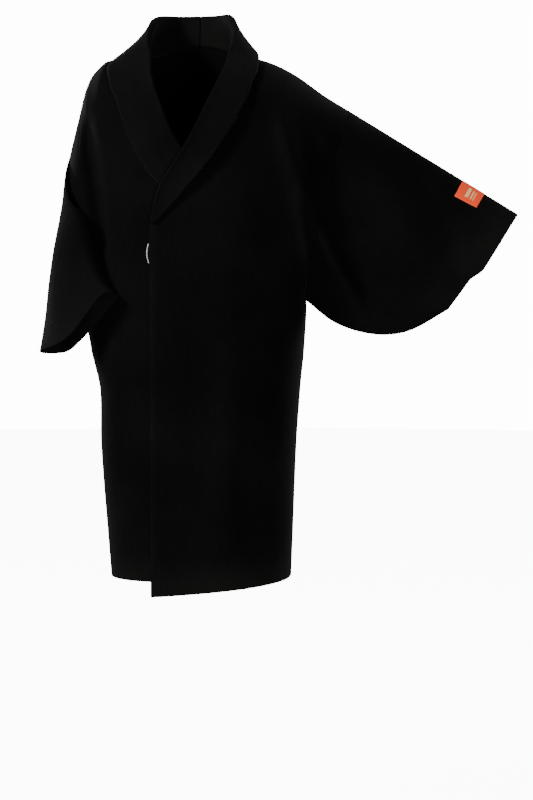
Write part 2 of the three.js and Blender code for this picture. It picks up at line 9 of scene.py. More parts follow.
import bpy
import numpy as np
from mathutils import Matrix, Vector


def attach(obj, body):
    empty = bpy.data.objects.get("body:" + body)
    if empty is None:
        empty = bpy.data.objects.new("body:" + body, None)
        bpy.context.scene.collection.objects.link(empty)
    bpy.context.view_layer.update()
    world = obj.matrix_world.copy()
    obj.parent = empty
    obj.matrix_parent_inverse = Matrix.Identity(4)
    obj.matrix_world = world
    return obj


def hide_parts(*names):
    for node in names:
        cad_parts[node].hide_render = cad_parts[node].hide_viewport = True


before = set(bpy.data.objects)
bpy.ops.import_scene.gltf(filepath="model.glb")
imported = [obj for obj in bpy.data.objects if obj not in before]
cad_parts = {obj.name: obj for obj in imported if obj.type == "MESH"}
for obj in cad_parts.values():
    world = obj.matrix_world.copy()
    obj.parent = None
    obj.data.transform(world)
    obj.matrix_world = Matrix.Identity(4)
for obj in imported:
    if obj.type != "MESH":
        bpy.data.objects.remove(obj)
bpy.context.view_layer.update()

MM = 0.001
CLOTH = 2.2  # thickness of the wool
EDGE = 1.1  # radius to which a folded edge or a pressed seam is rounded
EDGE_STEPS = np.array([0.0, 0.15, 0.5, EDGE])  # distances of the close rows at a rounded edge
EDGE_CLEAR = 1.6 * EDGE  # no even row lies closer to a rounded edge than this

# ---- driving sizes, as in the construction ----
NECK_HALF = 80.0
NECK_BACK = 84.0
NECK_RISE = 26.0
NECK_ROUND = 185.0
SHOULDER_TOP = -6.0
FRONT_EDGE = {
    "break": -328.5, "left_top": -54.0, "left_hem": -60.0, "right_top": 74.0, "right_hem": 80.0,
}
HEMS = {"front_left": (-992.0, -1019.0), "front_right": (-993.0, -987.0), "back": (-992.0, -992.0)}
SLEEVE_DROP = 345.0
CUFF_TIP = np.array([611.0, -30.0, -309.0])
CUFF_BOW = 9.0
ARMHOLE_HALF = {"front": 62.0, "back": 56.0}

BODY_COLUMNS = ("height", "half", "middle", "front", "back")
BODY_ROWS = np.array([
    (-1030, 171, 17, 112, 116),
    (-925, 177, 15, 115, 120),
    (-740, 187, 12, 119, 125),
    (-640, 191, 15, 121, 127),
    (-556, 204, 10, 123, 127),
    (-466, 212, 6, 125, 125),
    (-300, 212, 2, 127, 122),
    (-190, 212, 0, 122, 116),
    (30, 212, 0, 112, 106),
], float)

# Each side: sign of x, armhole's top and bottom as (x, z), rounding of the shoulder, spread of the
# collar, and the shoulder's height over the distance from the neck.
SIDES = {
    "left": {
        "sign": 1.0, "top": (302.0, -116.0), "pit": (218.0, -466.0), "round": 78.0, "spread": 0.88,
        "shoulder": np.array([(0, -6), (80, -6), (140, -19), (189, -41), (255, -87), (302, -116)], float),
    },
    "right": {
        "sign": -1.0, "top": (-229.0, -170.0), "pit": (-206.0, -466.0), "round": 52.0, "spread": 1.04,
        "shoulder": np.array([
            (0, -6), (80, -6), (155, -13), (184, -36), (199, -62), (209, -98), (219, -134), (229, -170),
        ], float),
    },
}

# Folds of the front: a line from, by and to in x and z, how far it stands out and how wide it is.
# They are fuller here than in the construction, which holds their rough form.
FOLDS = [
    ((176, -74), (210, -310), (368, -540), 16, 19),
    ((226, -112), (262, -290), (380, -560), -14, 22),
    ((208, -250), (228, -350), (246, -455), 9, 12),
    ((-192, -84), (-172, -235), (-136, -410), -20, 16),
    ((86, -330), (96, -600), (84, -960), 8, 36),
    ((146, -560), (152, -760), (140, -990), -7, 34),
    ((-24, -360), (-10, -560), (-20, -800), 5, 46),
    ((-112, -420), (-104, -640), (-110, -900), -5, 30),
    ((330, -170), (410, -300), (440, -455), 6, 34),
    ((420, -215), (480, -310), (500, -420), -6, 30),
]


# ---- small helpers ----
def mix(a, b, share):
    """a where the share is 0 and b where it is 1, in a straight line between them."""
    return a + (b - a) * share


def smooth(value):
    """0 below 0 and 1 above 1; between them three squares less two cubes, level at both ends."""
    t = np.clip(value, 0.0, 1.0)
    return t * t * (3 - 2 * t)


def rise(at, start, over):
    """The smooth step from 0 at a start to 1 a given length further on."""
    return smooth((at - start) / over)


def unit(vectors):
    """Each vector divided by its length."""
    return vectors / np.maximum(np.linalg.norm(vectors, axis=-1, keepdims=True), 1e-9)


def cubic(first, last, leaving, arriving, wide, t):
    """Between two values the third-degree curve that has the given slope at each of them."""
    return (
        first * (1 + 2 * t) * (1 - t) ** 2 + leaving * wide * t * (1 - t) ** 2
        + last * t * t * (3 - 2 * t) + arriving * wide * t * t * (t - 1)
    )


def follow(stations, values, at):
    """Between two rows of a table a cubic whose slope at a row is the harmonic mean of its neighbours'
    slopes, or 0 where they differ in sign, so the curve never passes beyond the rows."""
    place = np.clip(at, stations[0], stations[-1])
    k = np.clip(np.searchsorted(stations, place, side="right") - 1, 0, len(stations) - 2)
    slope = np.diff(values) / np.diff(stations)
    product = slope[:-1] * slope[1:]
    total = np.where(product > 0, slope[:-1] + slope[1:], 1.0)
    bend = np.concatenate([slope[:1], np.where(product > 0, 2 * product / total, 0.0), slope[-1:]])
    wide = stations[k + 1] - stations[k]
    t = (place - stations[k]) / wide
    return cubic(values[k], values[k + 1], bend[k], bend[k + 1], wide, t)


def through(stations, points, at):
    """A curve, or a surface where a row holds several points, through the rows of a table: a cubic
    between two rows whose direction at a row is that of the line between its neighbours."""
    at = np.asarray(at, float)
    last = len(stations) - 1
    k = np.clip(np.searchsorted(stations, at, side="right") - 1, 0, last - 1)
    low = np.maximum(np.arange(last + 1) - 1, 0)
    high = np.minimum(np.arange(last + 1) + 1, last)
    extra = (1,) * (points.ndim - 1)
    bend = (points[high] - points[low]) / (stations[high] - stations[low]).reshape((-1,) + extra)
    wide = (stations[k + 1] - stations[k]).reshape(at.shape + extra)
    t = np.clip((at - stations[k]) / (stations[k + 1] - stations[k]), 0, 1).reshape(at.shape + extra)
    return cubic(points[k], points[k + 1], bend[k], bend[k + 1], wide, t)


# ---- the form of the body, as a depth over each point of the front view ----
ARMPIT_ROUND = 95.0  # height over which the armhole closes round at the armpit
INWARD_BELOW, INWARD_OVER = 70.0, 190.0  # inside the panel: how far below it starts, and over what
SEAM_HOLD = 6  # power of the share across that keeps the armhole's own closing near the seam
LOW_ROUND, HIGH_ROUND, ROUND_OVER = 2.4, 2.6, 140.0  # powers across the body and height between them
CROWN, NECK_CROWN = 0.6, 1.0  # power over the shoulder and behind the neck; 0.5 gives a circle
STEEPEST = 0.35  # least cosine of the shoulder's slope
FOLD_TOP = 40.0  # folds fade over this height below the shoulder
FOLD_FADE = 4  # and over a quarter of their length at both ends
FOLD_TALL = 0.6  # heights count less than widths in the distance from a fold's line
LAP_LIFT = (5.0, 8.6)  # over the right front, and over the right collar on it
LAP_CHANGE = (-430.0, 90.0)  # height where it starts to grow, and over what
LAP_SIDE = (100.0, 90.0)  # x where it starts to fade, and over what
LAP_TOP = 80.0  # it fades over this height below the shoulder


def body(column, z):
    """One measure of the body at a height, by the cubic through the table's rows."""
    return follow(BODY_ROWS[:, 0], BODY_ROWS[:, BODY_COLUMNS.index(column)], z)


def shoulder(side, x):
    """Height of the shoulder line over a point, by the cubic through its table."""
    return follow(side["shoulder"][:, 0], side["shoulder"][:, 1], np.abs(x))


def outer_x(side, z):
    """Where the panel ends: on the armhole's straight seam, or on the side seam below the armpit."""
    (top_x, top_z), (pit_x, pit_z) = side["top"], side["pit"]
    below = body("middle", z) + side["sign"] * body("half", z)
    return np.where(z < pit_z, below, mix(pit_x, top_x, (z - pit_z) / (top_z - pit_z)))


def top_edge(side, face, x):
    """Height and depth of the top edge: the shoulder line and, on the back, the round neckline."""
    across = np.abs(x) / NECK_HALF
    height, deep = shoulder(side, x), np.zeros_like(across)
    if face == "back":
        inside = np.clip(1 - across ** 2, 0, 1)
        height = np.where(across < 1, SHOULDER_TOP + NECK_RISE * inside, height)
        deep = np.where(across < 1, NECK_BACK * np.sqrt(inside), 0.0)
    return height, deep


def armhole_depth(side, face, z, share):
    """Half the depth at the armhole seam, which closes round at the armpit; inside the panel the
    closing is spread over a longer height."""
    up = np.clip((z - side["pit"][1]) / ARMPIT_ROUND, 0, 1)
    inward = rise(z, side["pit"][1] - INWARD_BELOW, INWARD_OVER)
    return ARMHOLE_HALF[face] * mix(inward, np.sqrt(1 - (1 - up) ** 2), share ** SEAM_HOLD)


def depth_on(side, face, x, z):
    """Depth of the cloth on one side. Across the body it falls from full to the seam's depth by a
    rounded curve, and up the body it closes to the top edge over the shoulder's rounding."""
    middle = body("middle", z)
    inside = np.clip(np.abs((x - middle) / (outer_x(side, z) - middle)), 0, 1)
    seam = armhole_depth(side, face, z, inside)
    low, high = (1 - inside ** LOW_ROUND) ** (1 / LOW_ROUND), 1 - inside ** HIGH_ROUND
    fullness = mix(low, high, rise(z, side["pit"][1], ROUND_OVER))
    full = mix(seam, body(face, z), fullness)
    edge_z, edge_y = top_edge(side, face, x)
    away = smooth(np.abs(x) / abs(side["top"][0]))
    step = 2.0
    slope = (shoulder(side, np.abs(x) + step) - shoulder(side, np.abs(x) - step)) / (2 * step)
    lean = np.maximum(STEEPEST, 1 / np.hypot(1, slope))
    drop = np.clip((edge_z - z) * lean / mix(NECK_ROUND, side["round"], away), 0, 1)
    crown = CROWN
    if face == "back":
        crown = mix(NECK_CROWN, CROWN, rise(np.abs(x) / NECK_HALF, 0.5, 0.5))
    return mix(edge_y, full, (1 - (1 - drop) ** 2) ** crown)


def depth(face, x, z):
    """Depth of the cloth anywhere: that of the side of the body's middle on which the point lies."""
    middle = body("middle", z)
    left = depth_on(SIDES["left"], face, np.maximum(x, middle), z)
    right = depth_on(SIDES["right"], face, np.minimum(x, middle), z)
    return np.where(x >= middle, left, right)


def fold(x, z):
    """Sum of soft ridges, each a bell across a quadratic curve and fading at both of its ends."""
    out = np.zeros_like(x)
    for start, by, end, high, wide in FOLDS:
        share = np.clip((z - start[1]) / (end[1] - start[1]), 0, 1)
        near_x, near_z = (
            (1 - share) ** 2 * a + 2 * share * (1 - share) * b + share ** 2 * c
            for a, b, c in zip(start, by, end)
        )
        away = np.hypot(x - near_x, (z - near_z) * FOLD_TALL) / wide
        ends = smooth(share * FOLD_FADE) * smooth((1 - share) * FOLD_FADE)
        out += high * np.exp(-away * away) * ends
    return out


def lap_lift(x, z):
    """How far the left front is raised over the right front and, higher up, over the right collar."""
    over = mix(*LAP_LIFT, rise(z, *LAP_CHANGE))
    top = np.where(x >= body("middle", z), shoulder(SIDES["left"], x), shoulder(SIDES["right"], x))
    return over * (1 - rise(x, *LAP_SIDE)) * smooth((top - z) / LAP_TOP)


def front_y(name, x, z):
    """Where the cloth of a front lies: minus the depth and, on the left, minus its lift."""
    lift = lap_lift(x, z) if name == "left" else 0
    return -depth("front", x, z) - lift


# ---- cloth walls ----
def grid_normals(grid, sign, ring):
    """Across the grid crossed with along it; sign turns the normals outwards."""
    along = np.gradient(grid, axis=0)
    if ring:
        across = unit(np.roll(grid, -1, axis=1) - grid) + unit(grid - np.roll(grid, 1, axis=1))
    else:
        across = np.gradient(grid, axis=1)
    return unit(np.cross(across, along)) * sign


def spans(length, steps, ends=(True, True)):
    """Shares of a length in even steps, with three close ones at each end that is rounded."""
    near, clear = EDGE_STEPS / length, EDGE_CLEAR / length
    first = near if ends[0] else np.array([0.0])
    last = 1 - near[::-1] if ends[1] else np.array([1.0])
    even = np.linspace(0, 1, steps + 1)[1:-1]
    even = even[(even > clear) & (even < 1 - clear)]
    return np.concatenate([first, even, last])


def rounding(length, shares, ends=(True, True)):
    """How much of the cloth's thickness is there at each share: a half circle at a rounded end."""
    away = np.full_like(shares, EDGE)
    if ends[0]:
        away = np.minimum(away, shares * length)
    if ends[1]:
        away = np.minimum(away, (1 - shares) * length)
    return np.sqrt(np.clip(1 - (1 - away / EDGE) ** 2, 0, 1))


def arc_lengths(grid, axis):
    """Mean distance walked along one direction of a grid."""
    steps = np.linalg.norm(np.diff(grid, axis=axis), axis=2).mean(axis=1 - axis)
    return np.concatenate([[0.0], np.cumsum(steps)])


def cells(index, ring):
    """The four corners of each cell of a grid of point numbers, closed round where it is a ring."""
    wide = np.concatenate([index, index[:, :1]], axis=1) if ring else index
    corners = [wide[:-1, :-1], wide[:-1, 1:], wide[1:, 1:], wide[1:, :-1]]
    return np.stack(corners, axis=-1).reshape(-1, 4)


def new_piece(name, corners, faces, material, rounded=True):
    """An object at the origin with a mesh of corners in metres."""
    mesh = bpy.data.meshes.new(name)
    mesh.from_pydata(corners.tolist(), [], faces)
    mesh.polygons.foreach_set("use_smooth", np.full(len(faces), rounded))
    mesh.materials.append(material)
    piece = bpy.data.objects.new(name, mesh)
    bpy.context.scene.collection.objects.link(piece)
    return piece


def put_on_root(piece):
    """The coat has one body, so every piece rides on it."""
    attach(piece, "root")
    return piece


def new_cloth(name, corners, faces, corner_uv, painted_light, material):
    """A piece of cloth with its flat place in metres as a UV map, and where a highlight is painted into its
    colour as an attribute.
    """
    piece = new_piece(name, corners * MM, faces.tolist(), material)
    layer = piece.data.uv_layers.new(name="cloth")
    layer.data.foreach_set("uv", (corner_uv * MM).astype(np.float32).ravel())
    painted_light_attr = piece.data.attributes.new("painted_light", "FLOAT", "POINT")
    painted_light_attr.data.foreach_set("value", painted_light.astype(np.float32))
    piece.data.validate()
    return put_on_root(piece)


def wall(
    name, grid, material, sign=1, ring=False, thick=CLOTH, across=None, along=None, normals=None,
    painted_light=0.0,
):
    """Outer and inner skin of a piece of cloth over a grid of its outer points. The skins are the
    thickness apart, less at a rounded end, where they meet in shared points and close the wall.
    Its last parameter says where a highlight is painted into the colour, from 0 to 1."""
    rows, columns = grid.shape[:2]
    painted_light = np.broadcast_to(painted_light, (rows, columns))
    if normals is None:
        normals = grid_normals(grid, sign, ring)
    share = np.ones((rows, columns)) if along is None else np.repeat(along[:, None], columns, 1)
    if across is not None:
        share = np.minimum(share, across[None, :])
    share = share[..., None]
    outside = grid - normals * thick * (1 - share) / 2
    inside = grid - normals * thick * (1 + share) / 2
    shared = np.zeros((rows, columns), bool)
    shared[[0, -1]] = True
    if not ring:
        shared[:, [0, -1]] = True
    outer = np.arange(rows * columns).reshape(rows, columns)
    inner = outer.copy()
    inner[~shared] = rows * columns + np.arange((~shared).sum())
    corners = np.concatenate([outside.reshape(-1, 3), inside[~shared]])

    u = arc_lengths(np.concatenate([grid, grid[:, :1]], axis=1) if ring else grid, 1)
    v = arc_lengths(grid, 0)
    spots = np.stack(np.meshgrid(u, v), axis=-1).reshape(-1, 2)
    flat = spots[cells(np.arange(len(spots)).reshape(len(v), len(u)), False)]
    faces, back = cells(outer, ring), cells(inner, ring)
    if sign > 0:
        faces, uv = np.concatenate([faces, back[:, ::-1]]), np.concatenate([flat, flat[:, ::-1]])
    else:
        faces, uv = np.concatenate([faces[:, ::-1], back]), np.concatenate([flat[:, ::-1], flat])
    painted_light = np.concatenate([painted_light.ravel(), painted_light[~shared]])
    return new_cloth(name, corners, faces, uv.reshape(-1, 2), painted_light, material)


# ---- the collar ----
# Points along each half, from the middle of the back (0) over the shoulder (3) to the front end
# (11): roll is the folded top edge, free the outer edge of the leaf, seam the sewn edge.
COLLAR_BACK = {
    "roll": [(0, 98, 84), (42, 88, 83), (67, 50, 76)],
    "free": [(0, 116, 10), (60, 104, 3), (104, 64, 0)],
}
COLLAR_FRONT = {
    "left": {
        "roll": [
            (74, 14, 46), (76, -16, 12), (77, -42, -20), (68, -70, -62), (50, -92, -105),
            (28, -110, -155), (-2, -123, -207), (-33, -130, -256), (-53, -136, -322),
        ],
        "free": [
            (121, 8, -5), (133, -50, -38), (131, -75, -84), (118, -90, -122), (98, -105, -162),
            (66, -118, -207), (30, -126, -248), (-2, -131, -284), (-42, -136, -325),
        ],
        "seam": [
            (80, 0, -6), (86, -18, -12), (92, -50, -32), (84, -76, -72), (66, -98, -116),
            (43, -113, -167), (11, -124, -219), (-23, -130, -265), (-48.5, -136, -323),
        ],
    },
    "right": {
        "roll": [
            (-74, 14, 46), (-73, -16, 12), (-67, -42, -22), (-54, -70, -68), (-35, -92, -110),
            (-12, -110, -160), (14, -120, -202), (42, -127, -252), (73, -130, -322),
        ],
        "free": [
            (-132, 6, -5), (-143, -50, -34), (-136, -80, -72), (-121, -92, -102), (-101, -105, -156),
            (-71, -118, -214), (-34, -126, -256), (8, -131, -292), (62, -134, -326),
        ],
        "seam": [
            (-80, 0, -6), (-84, -18, -12), (-82, -50, -34), (-70, -76, -78), (-51, -98, -121),
            (-27, -113, -172), (0, -122, -214), (31, -130, -262), (68.5, -134, -323),
        ],
    },
}
COLLAR_END = 11
STATIONS = np.arange(COLLAR_END + 1, dtype=float)
SHOULDER_STATION = 3  # the shoulder seam
COLLAR_LONG = 900.0  # nominal length that sets the close rows at both ends
COLLAR_STEPS, LEAF_STEPS, BEND_STEPS, STAND_STEPS = 200, 26, 18, 9
ROLL_ROUND = 3.5  # half the thickness of the roll, in the plane of the leaf
UNDER_LEAF = 0.7  # air between the leaf and the cloth it lies on
SHOULDER_AIR = 3.0  # more air where the leaf falls over the shoulder seam
ON_PANEL = (2.9, 1.1)  # station from which the collar lies on the front, and over how many
COLLAR_BONE = 26.0  # and the height over which it comes to lie there
LEAF_PUFF, PUFF_LENGTH = 4.2, 4.5  # how far the leaf puffs up at the roll, and how fast that ends
# The leaf of each half: where its puff ends, how far its edge stands off, and where that rises and
# falls; a place is a station and the number of stations over which it happens.
LEAF = {
    "left": {"puff_ends": (10.0, 1.0), "stand_off": 8.0, "rises": (3.5, 2.5), "falls": (8.5, 2.3)},
    "right": {"puff_ends": (7.5, 1.2), "stand_off": 2.5, "rises": (3.5, 2.0), "falls": (6.0, 1.5)},
}
SETTLE_REACH, SETTLE_BELL = 10, 4.0  # rows to each side, and the bell's width in rows
SETTLE_STARTS, SETTLE_ENDS = (0.6, 0.8), (8.5, 1.5)
COLLAR_HIGHLIGHT = (0.6, 0.25)  # painted highlight at the neck and at the front end


def back_seam(at):
    """The neckline behind the shoulder seams: x by a sine of the station, depth and height over it."""
    x = NECK_HALF * np.sin(np.asarray(at, float) / SHOULDER_STATION * math.pi / 2)
    height, deep = top_edge(SIDES["left"], "back", np.minimum(x, NECK_HALF - 0.001))
    return np.stack([x, deep, height], axis=-1)


def collar_table(name, edge):
    """The points of one edge of a half, with the back ones turned to its side."""
    side = SIDES[name]
    if edge == "seam":
        back, spread = back_seam(np.arange(SHOULDER_STATION)), 1
    else:
        back, spread = np.array(COLLAR_BACK[edge], float), side["spread"]
    back = back * np.array([side["sign"] * spread, 1, 1])
    return np.concatenate([back, np.array(COLLAR_FRONT[name][edge], float)])


def collar_edge(name, edge, at):
    """An edge of the collar: the cubic through its points, and the neckline itself for the seam."""
    curve = through(STATIONS, collar_table(name, edge), at)
    if edge == "seam":
        mirror = np.array([SIDES[name]["sign"], 1, 1])
        behind = back_seam(np.minimum(at, SHOULDER_STATION)) * mirror
        curve = np.where((at < SHOULDER_STATION)[..., None], behind, curve)
    return curve


def carrier(name, edge, share, at):
    """The line from the roll to an edge of the collar; from the collar bone down it lies on the
    front panel."""
    spot = mix(collar_edge(name, "roll", at), collar_edge(name, edge, at), share)
    on_panel = rise(at, *ON_PANEL) * smooth((SHOULDER_TOP - spot[..., 2]) / COLLAR_BONE)
    panel = front_y(name, spot[..., 0], np.minimum(spot[..., 2], SHOULDER_TOP - 1))
    spot[..., 1] = mix(spot[..., 1], panel, on_panel)
    return spot


def collar_section(name, at):
    """Leaf, half-round bend and stand at each station. The leaf lies a cloth and some air over its
    carrier and puffs up near the roll; the stand lies one cloth behind it."""
    sign, form, step = SIDES[name]["sign"], LEAF[name], 0.02
    roll = carrier(name, "free", 0, at)
    ahead = carrier(name, "free", 0, np.minimum(at + step, COLLAR_END))
    behind = carrier(name, "free", 0, np.maximum(at - step, 0))
    along = unit(ahead - behind)
    leaf = unit(carrier(name, "free", 0.3, at) - roll)
    stand = unit(carrier(name, "seam", 1, at) - roll)
    down = leaf + stand
    down = unit(down - along * (down * along).sum(-1, keepdims=True))
    out = np.cross(along, down) * sign
    puff = LEAF_PUFF * (1 - rise(at, *form["puff_ends"]))
    stand_off = form["stand_off"] * rise(at, *form["rises"]) * (1 - rise(at, *form["falls"]))
    over = 2 * CLOTH + UNDER_LEAF + SHOULDER_AIR * smooth(at - 1.5) * (1 - smooth(at - 4.5))
    rows = []
    for share in np.arange(LEAF_STEPS, 0, -1) / LEAF_STEPS:
        lift = over * mix(1, 0.9, share) + puff * math.exp(-share * PUFF_LENGTH)
        lift = lift + stand_off * share ** 2
        rows.append(
            carrier(name, "free", share, at) + out * lift[:, None] + down * ROLL_ROUND * (1 - share)
        )
    high, low = over + puff, -CLOTH
    for turn in np.linspace(0, math.pi, BEND_STEPS + 1):
        deep = mix(low, high, (1 + math.cos(turn)) / 2)
        rows.append(roll + down * ROLL_ROUND * (1 - math.sin(turn)) + out * deep[:, None])
    for share in np.arange(1, STAND_STEPS + 1) / STAND_STEPS:
        rows.append(carrier(name, "seam", share, at) - out * CLOTH + down * ROLL_ROUND * (1 - share))
    return np.stack(rows, axis=1)


def settled(grid, at):
    """The leaf and roll evened out along the collar, as the weight of the cloth does: each point is
    a bell-weighted mean of its neighbours. The sewn edge and both ends stay where they are."""
    reach = np.arange(-SETTLE_REACH, SETTLE_REACH + 1)
    weight = np.exp(-(reach / SETTLE_BELL) ** 2 / 2)
    near = np.clip(np.arange(len(at))[:, None] + reach, 0, len(at) - 1)
    evened = np.einsum("k,rkcx->rcx", weight / weight.sum(), grid[near])
    share = rise(at, *SETTLE_STARTS) * (1 - rise(at, *SETTLE_ENDS))
    loose = np.ones(grid.shape[1])
    loose[-STAND_STEPS:] = np.linspace(1, 0, STAND_STEPS)
    return mix(grid, evened, (share[:, None] * loose)[..., None])


def collar(name, material):
    """The wall over a half's settled sections, cut flat at the middle of the back."""
    shares = spans(COLLAR_LONG, COLLAR_STEPS)
    at = shares * COLLAR_END
    grid = settled(collar_section(name, at), at)
    grid[0, :, 0] = 0
    lengths = arc_lengths(grid, 1)
    across = rounding(lengths[-1], lengths / lengths[-1])
    normals = grid_normals(grid, SIDES[name]["sign"], False)
    normals[0, :, 0] = 0
    normals = unit(normals)
    # painted highlight, strongest round the neck and weaker towards the front end
    painted_light = mix(*COLLAR_HIGHLIGHT, rise(at, SHOULDER_STATION, 6))[:, None]
    return wall(
        f"collar_{name}", grid, material, SIDES[name]["sign"], across=across,
        along=rounding(COLLAR_LONG, shares), normals=normals, painted_light=painted_light,
    )


# ---- fronts and backs ----
PANEL_LONG, PANEL_WIDE, SHOULDER_LONG = 520.0, 330.0, 160.0  # nominal, for the close rows at edges
PANEL_ROWS = {"hem": 90, "pit": 25, "break": 15, "shoulder": 34}  # rows from each mark upwards
PANEL_COLUMNS = 110
SEAM_GAP = (0.6, 3.2)  # between a front and its collar, on the chest and at the neck
MIDDLE_SEAM = (-200.0, 200.0)  # height below which it leaves the middle of the neck, and over what
COLUMN_TURN = {"left": 1.9, "right": 1.75}  # arc by whose cosine the columns gather at the outside
GATHER = 0.75  # how much of that gathering there is
FOLLOW = 1.4  # how soon the rows turn to follow the shoulder
HEM_HIGHLIGHT, SIDE_HIGHLIGHT, FRONT_HIGHLIGHT = 0.7, 0.6, 0.45  # painted highlight at the hem, side seam and front edge
# height from the hem and width from the side seam over which the painted highlight fades
HEM_HIGHLIGHT_OVER, SIDE_HIGHLIGHT_OVER = 70.0, 36.0


def seam_x(name, z):
    """Where the collar is sewn to the front at a height."""
    at = np.linspace(SHOULDER_STATION, COLLAR_END, 600)
    curve = through(STATIONS, collar_table(name, "seam"), at)
    order = np.argsort(curve[:, 2])
    return np.interp(z, curve[order, 2], curve[order, 0])


def inner_x(name, z):
    """The front's inner edge: straight from the break to the hem, and along the collar above."""
    hem = HEMS["front_left"][1]
    share = (z - FRONT_EDGE["break"]) / (hem - FRONT_EDGE["break"])
    straight = mix(FRONT_EDGE[f"{name}_top"], FRONT_EDGE[f"{name}_hem"], share)
    gap = mix(*SEAM_GAP, rise(z, -80, 50))
    under = seam_x(name, z) + SIDES[name]["sign"] * gap
    return np.where(z <= FRONT_EDGE["break"], straight, under)


def panel_rows(side, hem, inner_top, v):
    """Heights of the panel's outer and inner edge and how far up the shoulder, for v from 0 at the
    hem over 1 at the armpit, 2 at the break and 3 at the start of the shoulder to 4 at its top."""
    outer_hem, inner_hem = hem
    start_outer = side["top"][1] - side["round"]
    start_inner = inner_top - NECK_ROUND
    pit, turn = side["pit"][1], FRONT_EDGE["break"]
    marks = np.arange(4.0)
    outer = np.interp(v, marks, [outer_hem, pit, turn, start_outer])
    inner = np.interp(v, marks, [inner_hem, pit, turn, start_inner])
    up = np.clip(v - 3, 0, 1)
    drop = 1 - np.cos((1 - up) * math.pi / 2)
    outer = np.where(v > 3, side["top"][1] - side["round"] * drop, outer)
    inner = np.where(v > 3, inner_top - NECK_ROUND * drop, inner)
    return outer, inner, up


def armhole_down(side):
    """Direction of the armhole's straight seam, from its top to the armpit."""
    (top_x, top_z), (pit_x, pit_z) = side["top"], side["pit"]
    return unit(np.array([pit_x - top_x, 0.0, pit_z - top_z]))


def armhole_normal(side, points):
    """Outward normal of the armhole's ring in the ring's own plane."""
    down, step = armhole_down(side), 0.9
    z = np.clip(points[..., 2], side["pit"][1] + 1, side["top"][1] - 1)
    result = np.zeros(points.shape)
    for face, way in (("front", -1.0), ("back", 1.0)):
        low, high = (depth_on(side, face, outer_x(side, at), at) for at in (z - step, z + step))
        slope = (high - low) / (2 * step)
        normal = np.array([0.0, way, 0.0]) + down * slope[..., None]
        result = np.where(((points[..., 1] < 0) == (way < 0))[..., None], unit(normal), result)
    return result


def panel_points(side, face, rows, start, end, share):
    """x across by the shares from edge to edge, and z that turns from straight rows at the hem to
    rows as far below the top edge as their ends are."""
    outer, inner, up = (row[:, None] for row in rows)
    x = mix(start[:, None], end[:, None], share)
    drop_outer = top_edge(side, face, start[:, None])[0] - outer
    drop_inner = top_edge(side, face, end[:, None])[0] - inner
    level = top_edge(side, face, x)[0] - mix(drop_outer, drop_inner, share)
    return x, mix(mix(outer, inner, share), level, np.sqrt(np.clip(up * FOLLOW, 0, 1)))


def front_surface(name, v, u):
    """Outer points of a front panel; u runs from its outer edge (0) to its inner edge (1)."""
    side, turn = SIDES[name], COLUMN_TURN[name]
    rows = panel_rows(side, HEMS[f"front_{name}"], SHOULDER_TOP, v)
    share = mix(u, (1 - np.cos(u * turn)) / (1 - math.cos(turn)), GATHER)[None, :]
    x, z = panel_points(side, "front", rows, outer_x(side, rows[0]), inner_x(name, rows[1]), share)
    y = front_y(name, x, z) - fold(x, z) * smooth((shoulder(side, x) - z) / FOLD_TOP)
    return np.stack([x, y, z], axis=-1)


def back_surface(name, v, u):
    """Outer points of a back panel; u runs from its outer edge (0) to the middle seam (1)."""
    side = SIDES[name]
    rows = panel_rows(side, HEMS["back"], SHOULDER_TOP + NECK_RISE, v)
    seam = body("middle", rows[1]) * smooth((MIDDLE_SEAM[0] - rows[1]) / MIDDLE_SEAM[1])
    share = mix(u, 1 - np.cos(u * math.pi / 2), GATHER)[None, :]
    x, z = panel_points(side, "back", rows, outer_x(side, rows[0]), seam, share)
    return np.stack([x, depth("back", x, z), z], axis=-1)


def panel(name, surface, material):
    """The wall over a front's or back's surface. Its edge normals are turned into the plane of each
    seam, so that two panels, or a panel and its sleeve, meet edge to edge."""
    side_name = name.split("_")[1]
    side = SIDES[side_name]
    v = np.concatenate([
        spans(PANEL_LONG, PANEL_ROWS["hem"], (True, False)),
        np.linspace(1, 2, PANEL_ROWS["pit"] + 1)[1:],
        np.linspace(2, 3, PANEL_ROWS["break"] + 1)[1:],
        3 + spans(SHOULDER_LONG, PANEL_ROWS["shoulder"], (False, True))[1:],
    ])
    u = spans(PANEL_WIDE, PANEL_COLUMNS)
    grid = surface(side_name, v, u)
    sign = -side["sign"] if name.startswith("front") else side["sign"]
    normals = grid_normals(grid, sign, False)
    above = grid[:, 0, 2] > side["pit"][1] + 1
    normals[~above, 0, 1] = 0
    normals[above, 0] = armhole_normal(side, grid[above, 0])
    on_shoulder = np.abs(grid[-1, :, 0]) > NECK_HALF - 1
    normals[-1, on_shoulder, 1] = 0
    if name.startswith("back"):
        normals[:, -1, 0] = 0
    normals = unit(normals)
    hem_round = rounding(PANEL_LONG, np.minimum(v, 1), (True, False))
    top_round = rounding(SHOULDER_LONG, np.clip(v - 3, 0, 1), (False, True))
    # Painted highlights: lighter colour along the hem, the lower side seam and the front edge of a front.
    highlight_hem = HEM_HIGHLIGHT * (1 - smooth(v * PANEL_LONG / HEM_HIGHLIGHT_OVER))[:, None]
    highlight_side = SIDE_HIGHLIGHT * (1 - smooth(u * PANEL_WIDE / SIDE_HIGHLIGHT_OVER)) * (1 - smooth(v - 0.8))[:, None]
    highlight_front = rise(u, 0.95, 0.05) * (0.0 if name.startswith("back") else FRONT_HIGHLIGHT)
    return wall(
        name, grid, material, sign, across=rounding(PANEL_WIDE, u),
        along=np.minimum(hem_round, top_round), normals=normals,
        painted_light=np.maximum(highlight_hem, np.maximum(highlight_side, highlight_front)),
    )


